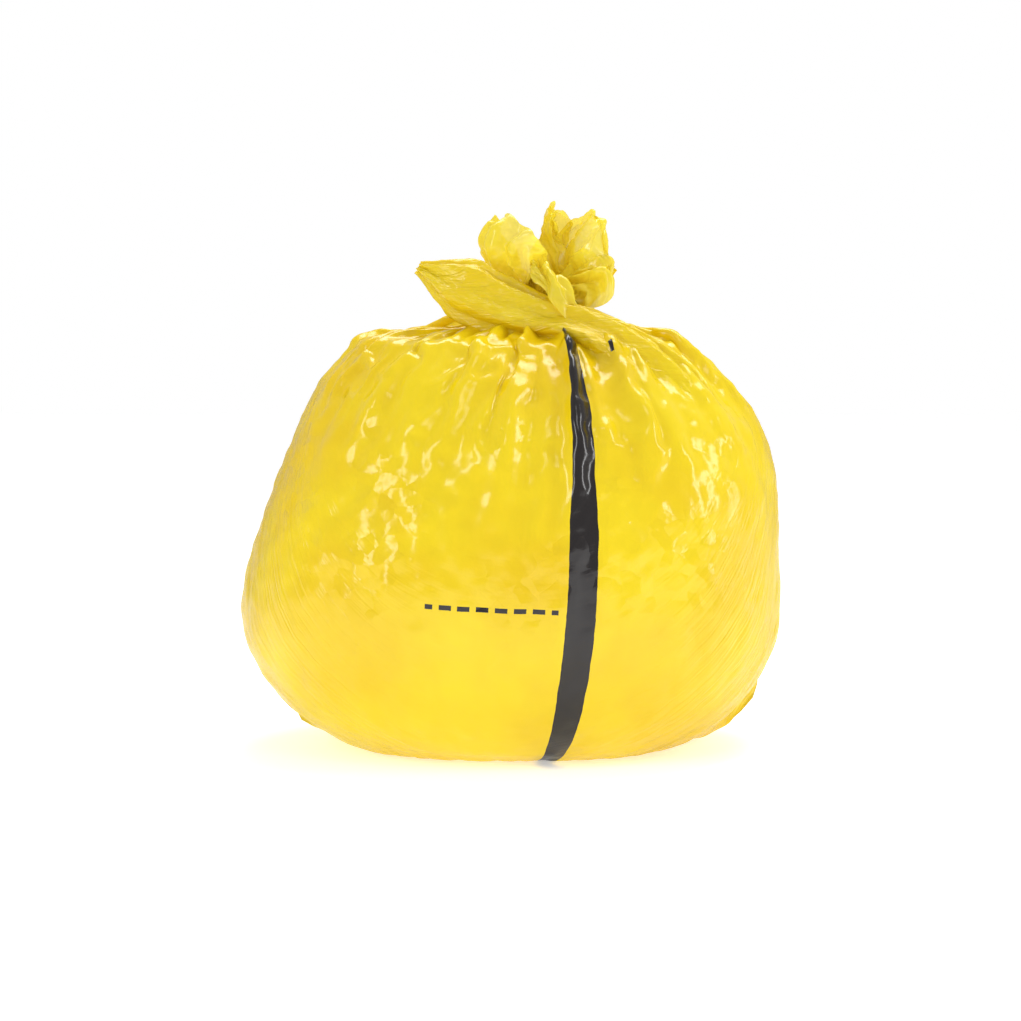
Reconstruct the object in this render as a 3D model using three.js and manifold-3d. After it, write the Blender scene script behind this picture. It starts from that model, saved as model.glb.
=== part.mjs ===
// A filled and knotted clinical waste bag, standing on a level floor.
//
// The bag is one piece of thin yellow film: a blown tube, welded flat across its bottom, three quarters
// filled, then closed by crossing two bunches of its own mouth over each other. It has no tie of its own.
// The solid is the space that the film encloses, with the waste and air inside it.
//
// Millimetres, +Z up. The origin is on the floor, at the middle of the bag's width and depth. The front,
// which carries the printed stripe, faces -Y, and +X is to the right as one looks at that front.
import * as THREE from "three";
import { LoftGeometry } from "three/addons/geometries/LoftGeometry.js";
import { mergeVertices } from "three/addons/utils/BufferGeometryUtils.js";
import Module from "manifold-3d";

const { PI, sin, cos, abs, sign, hypot } = Math;

// The levels of the sack, from the floor up. rise is the height above the level before it, shift is how far
// the level's middle lies to the right, width and depth are half the film's span at that level, and pleat is
// how deep its pleats are there.
const foot = { rise: 0, shift: 5, width: 138, depth: 98, pleat: 0 };
const heel = { rise: 12, shift: 6, width: 170, depth: 130, pleat: 0 };
const haunch = { rise: 38, shift: 2, width: 218, depth: 170, pleat: 0 };
const belly = { rise: 62, shift: 0, width: 250, depth: 195, pleat: 0 };
const waist = { rise: 66, shift: 3, width: 245, depth: 200, pleat: 0 };
const chest = { rise: 60, shift: 13, width: 235, depth: 193, pleat: 2 };
const shoulder = { rise: 60, shift: 18, width: 217, depth: 176, pleat: 9 };
const cape = { rise: 49, shift: 10, width: 184, depth: 148, pleat: 17 };
const crown = { rise: 40, shift: 8, width: 136, depth: 107, pleat: 20 };
const brim = { rise: 22, shift: 12, width: 79, depth: 66, pleat: 18 };

// The neck drops into a shallow dimple inside the brim, and then stands up inside the knot.
const neck = { drop: 10, shift: 25, radius: 33, pleat: 7 };
const throat = { rise: 22, shift: 27, radius: 24, pleat: 5 };

// Around a level the film is a little squarer than an ellipse: 2 would be an ellipse.
const squareness = 2.25;
const columns = 136;
const rowsPerLevel = 2;

// Pleats gather the film into the neck, with round ridges and sharp valleys. Sway makes their spacing uneven,
// and unevenness is the share of the depth that some of them lack. Angles are in radians from the right side.
const pleats = { count: 17, turn: 0.42, sway: 0.5, swayCount: 3, unevenness: 0.45, unevenCount: 4 };

// The two welded corners of the bottom seal stand out as soft ears: how far each one reaches to its side,
// half its length, thickness and height, and how much its tip is lifted, in radians.
const leftEar = { reach: 197, length: 50, thickness: 17, height: 22, lift: 0.08 };
const rightEar = { reach: 229, length: 64, thickness: 20, height: 24, lift: 0.34 };
const earClearance = 1;

// The knot: the core where the two bunches cross, half its size, and how far its middle is above the dimple.
const knot = { width: 42, depth: 38, height: 32, above: 16 };

// The front bunch comes up from the right shoulder, crosses in front of the neck and ends in a loose tongue
// on the left. Places are measured from the neck's dimple: right, back, up.
const frontBunch = {
  route: [
    [128, -88, -64],
    [82, -80, -34],
    [38, -68, -14],
    [-5, -56, -4],
    [-38, -48, 8],
    [-72, -40, 27],
    [-105, -32, 44],
  ],
  halfWidths: [16, 25, 22, 20, 24, 25, 5],
  halfThickness: [8, 12, 14, 14, 15, 15, 4],
};

// The rear bunch comes up from the left shoulder, crosses behind the neck and ends on the right.
const rearBunch = {
  route: [
    [-118, 68, -50],
    [-76, 64, -22],
    [-34, 56, -2],
    [6, 48, 12],
    [40, 38, 26],
    [72, 26, 42],
  ],
  halfWidths: [14, 24, 22, 22, 24, 8],
  halfThickness: [8, 12, 13, 13, 14, 6],
};

// The loose mouth of the bag stands above the knot in lobes of film, each one an egg from the knot's middle
// to its tip. A tip is measured from the neck's dimple, and width and thickness are half the lobe's size.
const lobes = {
  left: { tip: [-62, -22, 62], width: 21, thickness: 17 },
  topLeft: { tip: [-30, -12, 96], width: 27, thickness: 24 },
  top: { tip: [14, 4, 98], width: 37, thickness: 30 },
  topRight: { tip: [62, 10, 86], width: 34, thickness: 31 },
  right: { tip: [80, -8, 42], width: 29, thickness: 27 },
  backLeft: { tip: [-44, 52, 70], width: 38, thickness: 27 },
  backRight: { tip: [44, 58, 66], width: 38, thickness: 28 },
};
const lobeRoot = 0.45;

// One loop of film hangs down over the front of the knot.
const hangingLoop = { at: [18, -46, 32], width: 19, depth: 14, height: 36, lean: 0.2 };

const bunchSteps = 14;
const bunchSides = 14;
const lobeSteps = 9;
const roundSides = 16;

const wasm = await Module();
wasm.setup();

const sackLevels = [foot, heel, haunch, belly, waist, chest, shoulder, cape, crown, brim];

// The levels with their real heights, up to the throat inside the knot.
const levels = [];
let height = 0;
for (const level of sackLevels) {
  height += level.rise;
  levels.push({ ...level, height });
}
const dimple = height - neck.drop;
levels.push({ ...neck, height: dimple, width: neck.radius, depth: neck.radius });
levels.push({ ...throat, height: dimple + throat.rise, width: throat.radius, depth: throat.radius });
const neckPlace = new THREE.Vector3(neck.shift, 0, dimple);

// A closed geometry as a manifold solid, with its doubled vertices merged.
function solidOf(geometry) {
  const bare = new THREE.BufferGeometry().copy(geometry);
  bare.deleteAttribute("normal");
  bare.deleteAttribute("uv");
  const merged = mergeVertices(bare, 1e-3);
  return new wasm.Manifold(
    new wasm.Mesh({
      numProp: 3,
      vertProperties: merged.attributes.position.array,
      triVerts: new Uint32Array(merged.index.array),
    }),
  );
}

// A manifold solid as a three.js geometry.
function geometryOf(solid) {
  const mesh = solid.getMesh();
  const geometry = new THREE.BufferGeometry();
  geometry.setAttribute("position", new THREE.BufferAttribute(mesh.vertProperties, 3));
  geometry.setIndex(new THREE.BufferAttribute(mesh.triVerts, 1));
  geometry.computeVertexNormals();
  return geometry;
}

const softPower = (value, power) => sign(value) * abs(value) ** power;
const fromDimple = (place) => neckPlace.clone().add(new THREE.Vector3(...place));

// A smooth curve through a list of numbers, read from 0 to 1.
function through(numbers) {
  const points = numbers.map((number) => new THREE.Vector3(number, 0, 0));
  const curve = new THREE.CatmullRomCurve3(points, false, "catmullrom", 0.5);
  return (share) => curve.getPoint(share).x;
}

// How far in a pleat goes at an angle: 0 on a ridge, and up to 1 in a valley.
function pleatAt(angle) {
  const phase = pleats.count * angle + pleats.sway * sin(pleats.swayCount * angle);
  const fullness = 1 - pleats.unevenness * cos((pleats.unevenCount * angle) / 2) ** 2;
  return fullness * (1 - abs(sin(phase / 2 + pleats.turn)));
}

// The sack itself: closed sections stacked from the floor to the throat.
function sackGeometry() {
  const heightAt = through(levels.map((level) => level.height));
  const shiftAt = through(levels.map((level) => level.shift));
  const widthAt = through(levels.map((level) => level.width));
  const depthAt = through(levels.map((level) => level.depth));
  const pleatDepthAt = through(levels.map((level) => level.pleat));
  const rows = (levels.length - 1) * rowsPerLevel;
  const sections = [];
  for (let row = 0; row <= rows; row++) {
    const share = row / rows;
    const pleatDepth = Math.max(0, pleatDepthAt(share));
    const section = [];
    for (let column = 0; column < columns; column++) {
      const angle = (column / columns) * 2 * PI;
      const inward = pleatDepth * pleatAt(angle);
      section.push(
        new THREE.Vector3(
          shiftAt(share) + (widthAt(share) - inward) * softPower(cos(angle), 2 / squareness),
          (depthAt(share) - inward) * softPower(sin(angle), 2 / squareness),
          Math.max(0, heightAt(share)),
        ),
      );
    }
    sections.push(section);
  }
  return new LoftGeometry(sections, { capStart: true, capEnd: true });
}

// A ball of the given half sizes around the origin, with its poles up and down.
function ballGeometry(width, depth, height) {
  const ball = new THREE.SphereGeometry(1, roundSides, roundSides / 2);
  ball.rotateX(PI / 2);
  ball.scale(width, depth, height);
  return ball;
}

// An ear: a flattened ball along the bottom seal, lifted at its tip, and set by its reach and on the floor.
function earGeometry(ear, side) {
  const ball = ballGeometry(ear.length, ear.thickness, ear.height);
  ball.rotateY(-side * ear.lift);
  const halfSpan = hypot(ear.length * cos(ear.lift), ear.height * sin(ear.lift));
  const halfHeight = hypot(ear.length * sin(ear.lift), ear.height * cos(ear.lift));
  ball.translate(side * (ear.reach - halfSpan), 0, halfHeight + earClearance);
  return ball;
}

// A lobe of the loose mouth: an egg from the knot's middle to its tip, fuller towards the tip.
function lobeGeometry(lobe) {
  const root = fromDimple([0, 0, knot.above]);
  const reach = fromDimple(lobe.tip).sub(root);
  const profile = [];
  for (let step = 0; step <= lobeSteps; step++) {
    const angle = (step / lobeSteps) * PI;
    const share = (1 - cos(angle)) / 2;
    const fullness = lobeRoot + (1 - lobeRoot) * share;
    const isPole = step === 0 || step === lobeSteps;
    profile.push(new THREE.Vector2(isPole ? 0 : fullness * sin(angle), share));
  }
  const egg = new THREE.LatheGeometry(profile, roundSides);
  egg.scale(lobe.width, reach.length(), lobe.thickness);
  const up = reach.clone().normalize();
  const outward = new THREE.Vector3(reach.x, reach.y, 0).normalize();
  const across = new THREE.Vector3().crossVectors(up, outward).normalize();
  const thick = new THREE.Vector3().crossVectors(across, up);
  egg.applyMatrix4(new THREE.Matrix4().makeBasis(across, up, thick).setPosition(root));
  return egg;
}

// The loop of film that hangs in front of the knot.
function hangingLoopGeometry() {
  const ball = ballGeometry(hangingLoop.width, hangingLoop.depth, hangingLoop.height);
  ball.rotateY(-hangingLoop.lean);
  ball.translate(...fromDimple(hangingLoop.at));
  return ball;
}

// A bunch of gathered film: flattened sections along its route, widest where it crosses the neck. Its flat
// side faces away from the neck's axis.
function bunchGeometry(bunch) {
  const route = new THREE.CatmullRomCurve3(bunch.route.map(fromDimple));
  const widthAt = through(bunch.halfWidths);
  const thicknessAt = through(bunch.halfThickness);
  const sections = [];
  for (let step = 0; step <= bunchSteps; step++) {
    const share = step / bunchSteps;
    const middle = route.getPoint(share);
    const tangent = route.getTangent(share);
    const outward = new THREE.Vector3(0, sign(middle.y), 0);
    outward.addScaledVector(tangent, -outward.dot(tangent)).normalize();
    const across = new THREE.Vector3().crossVectors(outward, tangent);
    const section = [];
    for (let side = 0; side < bunchSides; side++) {
      const angle = (side / bunchSides) * 2 * PI;
      section.push(
        middle
          .clone()
          .addScaledVector(across, widthAt(share) * cos(angle))
          .addScaledVector(outward, thicknessAt(share) * sin(angle)),
      );
    }
    sections.push(section);
  }
  return new LoftGeometry(sections, { capStart: true, capEnd: true });
}

// The film is one piece, so all its forms are joined into one solid.
function filmBag() {
  let bag = solidOf(sackGeometry());
  const forms = [
    earGeometry(leftEar, -1),
    earGeometry(rightEar, 1),
    ballGeometry(knot.width, knot.depth, knot.height).translate(...fromDimple([0, 0, knot.above])),
    bunchGeometry(frontBunch),
    bunchGeometry(rearBunch),
    hangingLoopGeometry(),
    ...Object.values(lobes).map(lobeGeometry),
  ];
  for (const form of forms) {
    bag = bag.add(solidOf(form));
  }
  // A pocket that the lobes close in among themselves is filled, because film lies crumpled there.
  const outerShells = bag.decompose().filter((shell) => shell.volume() > 0);
  return geometryOf(wasm.Manifold.compose(outerShells));
}

const yellowFilm = new THREE.MeshStandardMaterial({ color: 0xf2d90f, roughness: 0.3, metalness: 0 });

const bag = new THREE.Group();
const film = new THREE.Mesh(filmBag(), yellowFilm);
film.name = "film_bag";
bag.add(film);

export default bag;
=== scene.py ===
# %% [markdown]
# A filled clinical waste bag, tied in a knot with its own mouth.
#
# The real bag is one piece of very thin yellow polythene film. It starts as a flat tube, 711 mm wide, which
# is welded shut across its bottom. Waste and air fill it out, the slack film above them crumples, and the
# mouth is gathered, crossed and left standing as a loose ruff.
#
# This lesson makes the film the same way: each piece starts as a flat grid of the real film's size, is rolled
# into its tube, and is then given to Blender's cloth simulation, which finds the folds by itself.

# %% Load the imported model, which gives the size and the place of everything
import math

import bmesh
import bpy
import numpy as np
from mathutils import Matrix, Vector, noise
from mathutils.bvhtree import BVHTree
from mathutils.kdtree import KDTree


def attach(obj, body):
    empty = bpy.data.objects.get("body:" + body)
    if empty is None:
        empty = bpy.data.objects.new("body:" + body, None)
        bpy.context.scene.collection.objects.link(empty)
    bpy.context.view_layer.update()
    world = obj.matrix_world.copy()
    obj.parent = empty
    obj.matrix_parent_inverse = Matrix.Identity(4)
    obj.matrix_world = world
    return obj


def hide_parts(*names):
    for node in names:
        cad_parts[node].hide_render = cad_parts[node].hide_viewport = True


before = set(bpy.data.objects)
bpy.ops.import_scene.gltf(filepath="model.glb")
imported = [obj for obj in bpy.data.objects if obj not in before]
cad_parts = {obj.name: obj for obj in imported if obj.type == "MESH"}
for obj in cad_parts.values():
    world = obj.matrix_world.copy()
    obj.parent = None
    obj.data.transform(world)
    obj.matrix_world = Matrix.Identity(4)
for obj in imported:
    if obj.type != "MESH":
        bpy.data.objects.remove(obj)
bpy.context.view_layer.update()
cad_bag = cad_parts["film_bag"]
scene = bpy.context.scene

# %% [markdown]
# The film's own coordinates. How far round the tube a point of the film lies is a share: 0 at the left side,
# then over the front and the right side, and back to 1 at the left. How far up it lies is in metres along the
# film from the bottom seal, and in a bunch from its own start. Both are kept in a UV map, because everything
# that is printed on the film is laid out flat in those coordinates and follows the film wherever it folds.

# %% The film's real size
TUBE_ROUND = 1.422
FILM_UV = "film"

# %% [markdown]
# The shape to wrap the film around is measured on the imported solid, so that both stay the same bag. Rays are
# shot from outside towards the bag's upright axis, at a few heights, and where they strike is the surface.

# %% Measure the solid by rays
AXIS_FOOT = Vector((0.004, 0.0))
AXIS_TOP = Vector((0.027, 0.0))
NECK_HEIGHT = 0.392
LEVEL_HEIGHTS = [0.003, 0.012, 0.028, 0.05, 0.08, 0.112, 0.145, 0.178, 0.21, 0.238, 0.27, 0.298, 0.325, 0.347,
                 0.368, 0.384]
RAY_START = 0.6
BELLY_HEIGHT = 0.112
PROBES = 720
solid = BVHTree.FromObject(cad_bag, bpy.context.evaluated_depsgraph_get())


def axis_at(height):
    """The bag leans a little, so its upright axis moves to the right as it rises."""
    share = min(1.0, height / NECK_HEIGHT)
    return AXIS_FOOT.lerp(AXIS_TOP, share)


def surface_point(height, angle):
    """Where a level ray from outside, at this angle round the axis, strikes the solid."""
    middle = axis_at(height)
    outward = Vector((math.cos(angle), math.sin(angle), 0.0))
    start = Vector((middle.x, middle.y, height)) + outward * RAY_START
    hit = solid.ray_cast(start, -outward)[0]
    return np.array(hit)


probe_angles = np.linspace(0, 2 * math.pi, PROBES + 1)
belly = np.array([surface_point(BELLY_HEIGHT, angle) for angle in probe_angles])
steps = np.linalg.norm(np.diff(belly, axis=0), axis=1)
belly_share = np.concatenate([[0], np.cumsum(steps)]) / steps.sum()
print("the belly measures", round(steps.sum(), 3), "m round, and the film", TUBE_ROUND)

# %% [markdown]
# The body of the bag is rolled from one flat grid. Every column of the grid is a strip of film that starts at
# the bottom seal, runs out under the bag, climbs its side and ends in the neck. The strip's real length is
# measured along the way, and a few percent are added as the slack that real film has. The welded corners
# stand out as two ears, so the strips near a corner are drawn towards it.

# %% The strips of the body film
BODY_COLUMNS = 176
BODY_ROWS = 96
BODY_SLACK = 1.03
SEAL_HEIGHT = 0.003
LEFT_EAR = Vector((-0.196, 0.0, 0.022))
RIGHT_EAR = Vector((0.227, 0.0, 0.044))
EAR_WIDTH = 0.11
EAR_CLEARANCE = 0.01
NECK_PLACE = Vector((0.026, -0.004, 0.392))
NECK_RADIUS = 0.030
THROAT_RISE = 0.022
THROAT_RADIUS = 0.022
CURVE_STEPS = 10
RING_SMOOTHING = 6
round_share = np.linspace(0, 1, BODY_COLUMNS + 1)
up_share = np.linspace(0, 1, BODY_ROWS + 1)


def strip_angle(share):
    """The angle at which a strip meets the belly. Share 0 is the left side, and 0.25 the front's middle."""
    from_right = (share + 0.5) % 1.0
    return np.interp(from_right, belly_share, probe_angles)


def along_path(points, shares):
    """Points at even shares of the length of a smooth path through the given points, and that length."""
    longer = np.vstack([2 * points[0] - points[1], points, 2 * points[-1] - points[-2]])
    fine = []
    for before, here, there, after in zip(longer, longer[1:], longer[2:], longer[3:]):
        for t in np.linspace(0, 1, CURVE_STEPS, endpoint=False):
            fine.append(0.5 * (2 * here + (there - before) * t
                               + (2 * before - 5 * here + 4 * there - after) * t ** 2
                               + (3 * here - before - 3 * there + after) * t ** 3))
    fine.append(points[-1])
    fine = np.array(fine)
    length = np.concatenate([[0], np.cumsum(np.linalg.norm(np.diff(fine, axis=0), axis=1))])
    places = np.stack([np.interp(shares * length[-1], length, fine[:, k]) for k in range(3)], axis=1)
    return places, length[-1]


def smooth_round(rings, passes):
    """Evens out rings of points round the bag, so that the solid's own facets don't show in the film."""
    for _ in range(passes):
        rings = (np.roll(rings, 1, axis=1) + 2 * rings + np.roll(rings, -1, axis=1)) / 4
    return rings


angles = np.unwrap(strip_angle(round_share[:-1]))
seal_share = np.where(round_share <= 0.5, 2 * round_share, 2 - 2 * round_share)
from_corner = np.minimum(seal_share, 1 - seal_share) * TUBE_ROUND / 2

rings = np.array([[surface_point(height, angle) for angle in angles] for height in LEVEL_HEIGHTS])
rings = smooth_round(rings, RING_SMOOTHING)

body_smooth = np.zeros((BODY_ROWS + 1, BODY_COLUMNS + 1, 3))
strip_length = np.zeros(BODY_COLUMNS + 1)
for column in range(BODY_COLUMNS):
    share = seal_share[column]
    is_left = share < 0.5
    ear = LEFT_EAR if is_left else RIGHT_EAR
    near_ear = max(0.0, 1 - from_corner[column] / EAR_WIDTH)
    seal = LEFT_EAR.lerp(RIGHT_EAR, share)
    seal.z = SEAL_HEIGHT + (ear.z - SEAL_HEIGHT) * near_ear ** 2
    outward = np.array([math.cos(angles[column]), math.sin(angles[column]), 0.0])
    neck = np.array(NECK_PLACE) + outward * NECK_RADIUS
    throat = np.array(NECK_PLACE) + outward * THROAT_RADIUS + np.array([0, 0, THROAT_RISE])
    ring = rings[:, column].copy()
    low_levels = [k for k, height in enumerate(LEVEL_HEIGHTS) if height < ear.z + EAR_CLEARANCE]
    pull = near_ear ** 2 * (3 - 2 * near_ear)
    for k in low_levels:
        share_up = (k + 1) / (len(low_levels) + 1)
        beside_ear = np.array(ear) * (1 - share_up) + rings[len(low_levels), column] * share_up
        ring[k] = ring[k] * (1 - pull) + beside_ear * pull
    path = np.vstack([np.array(seal), ring, neck, throat])
    body_smooth[:, column], strip_length[column] = along_path(path, up_share)
body_smooth[:, -1] = body_smooth[:, 0]
strip_length[-1] = strip_length[0]
strip_length *= BODY_SLACK
body_smooth[..., 2] = np.maximum(body_smooth[..., 2], SEAL_HEIGHT)
print("strips of film are", round(strip_length.min(), 3), "to", round(strip_length.max(), 3), "m long")

# %% [markdown]
# Near the neck there is far more film round the bag than there is room for, so it lies in pleats: the shorter
# the way round, the deeper they have to be to use up the film's width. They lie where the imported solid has
# its pleats, but every valley starts at its own height and has its own depth. None is deeper than a limit,
# because film that starts inside the waste would fall through it. A finer set of pleats lies over them.

# %% Pleat the film into the neck
PLEATS = 17
PLEAT_TURN = 0.42
PLEAT_SWAY = 0.5
SWAY_COUNT = 3
UNEVENNESS = 0.45
UNEVEN_COUNT = 4
SQUARENESS = 2.25
DEEPEST_PLEAT = 0.022
FINE_PLEATS = 43
DEEPEST_FINE_PLEAT = 0.004
PLEATS_START = (0.40, 0.66)
PLEATS_FADE = 0.24
PLEAT_SHARES = (0.25, 1.0)
HANDLING_NOISE = 0.0007
# A wave makes film longer: the square of its stretch is 1 plus this times the square of its steepest slope.
WAVE_TAKES = 0.45
# This is how near to a valley a pleat's points are on average, so pleats leave the bag as wide as it was.
MEAN_NEARNESS = 0.36
FINE_PLEAT_SHARE = 0.3
FINE_PLEAT_SWAY = 0.010
SWAYS = 6
chance = np.random.default_rng(11)


def across_surface(grid):
    """The outward direction at every point of a rolled grid."""
    ring = grid[:, :-1]
    round_way = np.roll(ring, -1, axis=1) - np.roll(ring, 1, axis=1)
    up_way = np.gradient(ring, axis=0)
    normal = np.cross(round_way, up_way)
    normal /= np.linalg.norm(normal, axis=2, keepdims=True) + 1e-12
    return np.concatenate([normal, normal[:, :1]], axis=1)


def uneven(share, swings, seed):
    """A share round the tube, moved a little back and forth, that still closes on itself."""
    pick = np.random.default_rng(seed)
    moved = share.copy()
    for turns in range(1, SWAYS + 1):
        swing = swings / turns * pick.normal()
        moved = moved + swing * np.sin(2 * math.pi * (turns * share + pick.random()))
    return moved


def section_angle(ring):
    """The angle by which the solid's sections are drawn, for the points of one ring round the bag."""
    middle = (ring[:, 0].max() + ring[:, 0].min()) / 2
    right = (ring[:, 0] - middle) / (np.ptp(ring[:, 0]) / 2)
    back = ring[:, 1] / max(np.ptp(ring[:, 1]) / 2, SEAL_HEIGHT)
    power = SQUARENESS / 2
    return np.arctan2(np.sign(back) * abs(back) ** power, np.sign(right) * abs(right) ** power)


def pleat_valleys(angle):
    """For an angle, which valley is nearest, and how near it is: 1 in the valley and 0 on the ridge."""
    phase = (PLEATS * angle + PLEAT_SWAY * np.sin(SWAY_COUNT * angle)) / 2 + PLEAT_TURN
    fullness = 1 - UNEVENNESS * np.cos(UNEVEN_COUNT * angle / 2) ** 2
    return np.round(phase / math.pi).astype(int) % PLEATS, fullness * (1 - abs(np.sin(phase)))


body_outward = across_surface(body_smooth)
way_round = np.linalg.norm(np.diff(body_smooth, axis=1), axis=2).sum(axis=1)
crowding = np.maximum(1.0, TUBE_ROUND / way_round)
pleat_slope = np.sqrt((crowding ** 2 - 1) / WAVE_TAKES)
pleat_depth = np.minimum(DEEPEST_PLEAT, pleat_slope * way_round / (math.pi * PLEATS))
valley_starts = chance.uniform(*PLEATS_START, PLEATS)
valley_depths = chance.uniform(*PLEAT_SHARES, PLEATS)
fine_depth = np.minimum(DEEPEST_FINE_PLEAT, FINE_PLEAT_SHARE * pleat_depth)
fine_wave = np.sin(2 * math.pi * FINE_PLEATS * uneven(round_share, FINE_PLEAT_SWAY, seed=5))
lift = chance.normal(0, HANDLING_NOISE, body_smooth.shape[:2])
for row, up in enumerate(up_share):
    valley, nearness = pleat_valleys(section_angle(body_smooth[row]))
    begun = np.clip((up - valley_starts[valley]) / PLEATS_FADE, 0, 1)
    own_share = valley_depths[valley] + (1 - valley_depths[valley]) * begun ** 2
    depth = pleat_depth[row] * begun * own_share
    lift[row] += depth * (MEAN_NEARNESS - nearness) + fine_depth[row] * begun * fine_wave
lift[:, -1] = lift[:, 0]
body_start = body_smooth + body_outward * lift[..., None]
body_start[..., 2] = np.maximum(body_start[..., 2], SEAL_HEIGHT)
body_start[0, :, 1] = 0.0
print("pleats are up to", round(1000 * pleat_depth.max(), 1), "mm deep")

# %% [markdown]
# Film that has been handled is never quite flat again: it is a patchwork of small flat facets with creases
# between them. Here each facet is the part of the film that lies nearest to one of many scattered points, and
# it rises like a low tent towards its edges. The creases go into the film's flat shape, which is the shape
# that the simulation's springs remember, so the folds that form later are real ones with sharp ridges.

# %% Crumple the flat film
FILM_GAP = 0.012
GAP_OPENS_OVER = 0.05
CRUMPLE_SIZE = 0.034
CRUMPLE_DEPTH = 0.005
CRUMPLE_BELOW = 0.35
CRUMPLE_ABOVE = 0.55
# The edges of a facet lie about this many sizes from its middle.
FACET_REACH = 0.7


def facets(round_way, up_way, size, seed):
    """The height, from 0 to about 1, of a crumpled film's facets at points of the film, given in metres."""
    pick = np.random.default_rng(seed)
    high = up_way.max() + size
    low = up_way.min() - size
    count = int(TUBE_ROUND * (high - low) / size ** 2)
    middles = np.stack([pick.uniform(0, TUBE_ROUND, count), pick.uniform(low, high, count)], axis=1)
    tree = KDTree(3 * count)
    for turn in (-1, 0, 1):
        for x, y in middles:
            tree.insert((x + turn * TUBE_ROUND, y, 0.0), 0)
    tree.balance()
    flat_points = zip(round_way.ravel(), up_way.ravel())
    height = np.array([tree.find((x, y, 0.0))[2] for x, y in flat_points]) / (FACET_REACH * size)
    return height.reshape(round_way.shape)


def laid_flat(shares, ups, lengths):
    """Where each point of a rolled grid lies when its tube is laid flat, front layer and back layer."""
    across = np.where(shares <= 0.5, shares, 1 - shares) * TUBE_ROUND
    layer = np.where(shares <= 0.5, -1, 1)
    from_edge = np.clip(np.minimum(across, TUBE_ROUND / 2 - across) / FILM_GAP, 0, 1)
    gap = layer * FILM_GAP / 2 * np.sqrt(1 - (1 - from_edge) ** 2)
    flat = np.zeros((len(ups), len(shares), 3))
    flat[..., 0] = across[None, :]
    flat[..., 2] = ups[:, None] * lengths[None, :]
    flat[..., 1] = gap[None, :] * np.clip(flat[..., 2] / GAP_OPENS_OVER, 0, 1)
    return flat


round_way = np.broadcast_to(round_share * TUBE_ROUND, lift.shape)
up_way = up_share[:, None] * strip_length[None, :]
body_crumple = facets(round_way, up_way, CRUMPLE_SIZE, 21)
body_crumple[:, -1] = body_crumple[:, 0]
crumpled_part = np.clip((up_share - CRUMPLE_BELOW) / (CRUMPLE_ABOVE - CRUMPLE_BELOW), 0, 1)
body_flat = laid_flat(round_share, up_share, strip_length)
body_flat[..., 1] += CRUMPLE_DEPTH * crumpled_part[:, None] * body_crumple * np.sign(body_flat[..., 1])
print("the film has", int(TUBE_ROUND * strip_length.max() / CRUMPLE_SIZE ** 2), "crumpled facets")

# %% [markdown]
# One helper makes every film piece. It starts from `create_grid`, notes the film coordinates in the UV map
# while the grid is still flat, moves the points to where the rolled film starts, and then merges the doubled
# points: those along the tube's side and, where there is one, along the welded bottom seal.

# %% Roll a grid into a film piece
def piece_from(bm, name):
    """Turns a finished bmesh into an object of the scene."""
    mesh = bpy.data.meshes.new(name)
    bm.to_mesh(mesh)
    bm.free()
    piece = bpy.data.objects.new(name, mesh)
    scene.collection.objects.link(piece)
    return piece


def rolled_film(name, start, flat, lengths, first_share=0.0, round_scale=1.0, first_up=0.0):
    """A mesh object whose grid of points is at start, with its flat shape kept as an attribute."""
    rows, columns = start.shape[0] - 1, start.shape[1] - 1
    bm = bmesh.new()
    bmesh.ops.create_grid(bm, x_segments=columns, y_segments=rows, size=0.5)
    film_uv = bm.loops.layers.uv.new(FILM_UV)
    flat_layer = bm.verts.layers.float_vector.new("flat")
    up_layer = bm.verts.layers.float.new("up")
    for face in bm.faces:
        for loop in face.loops:
            share, up = loop.vert.co.x + 0.5, loop.vert.co.y + 0.5
            column = round(share * columns)
            loop[film_uv].uv = (first_share + share * round_scale, first_up + up * lengths[column])
    for vert in bm.verts:
        column = round((vert.co.x + 0.5) * columns)
        row = round((vert.co.y + 0.5) * rows)
        vert[up_layer] = row / rows
        vert[flat_layer] = flat[row, column]
        vert.co = start[row, column]
    bmesh.ops.remove_doubles(bm, verts=bm.verts, dist=1e-6)
    return piece_from(bm, name)


body_film = rolled_film("body_film", body_start, body_flat, strip_length)
print("body_film has", len(body_film.data.polygons), "faces")

# %% [markdown]
# The waste inside is hidden, but it is what gives the film its shape, so the simulation needs it. A plain
# closed shape, a little inside the film, stands in for it as an obstacle, and is deleted afterwards. It lies
# deeper under the pleats of the shoulders, which need room to hang into.

# %% The waste that the film lies on
WASTE_GAP = 0.007
WASTE_GAP_ABOVE = 0.016
GAP_GROWS_FROM = 0.55
GAP_GROWS_OVER = 0.35
WASTE_FROM = 0.16
WASTE_TO = 0.93


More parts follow.
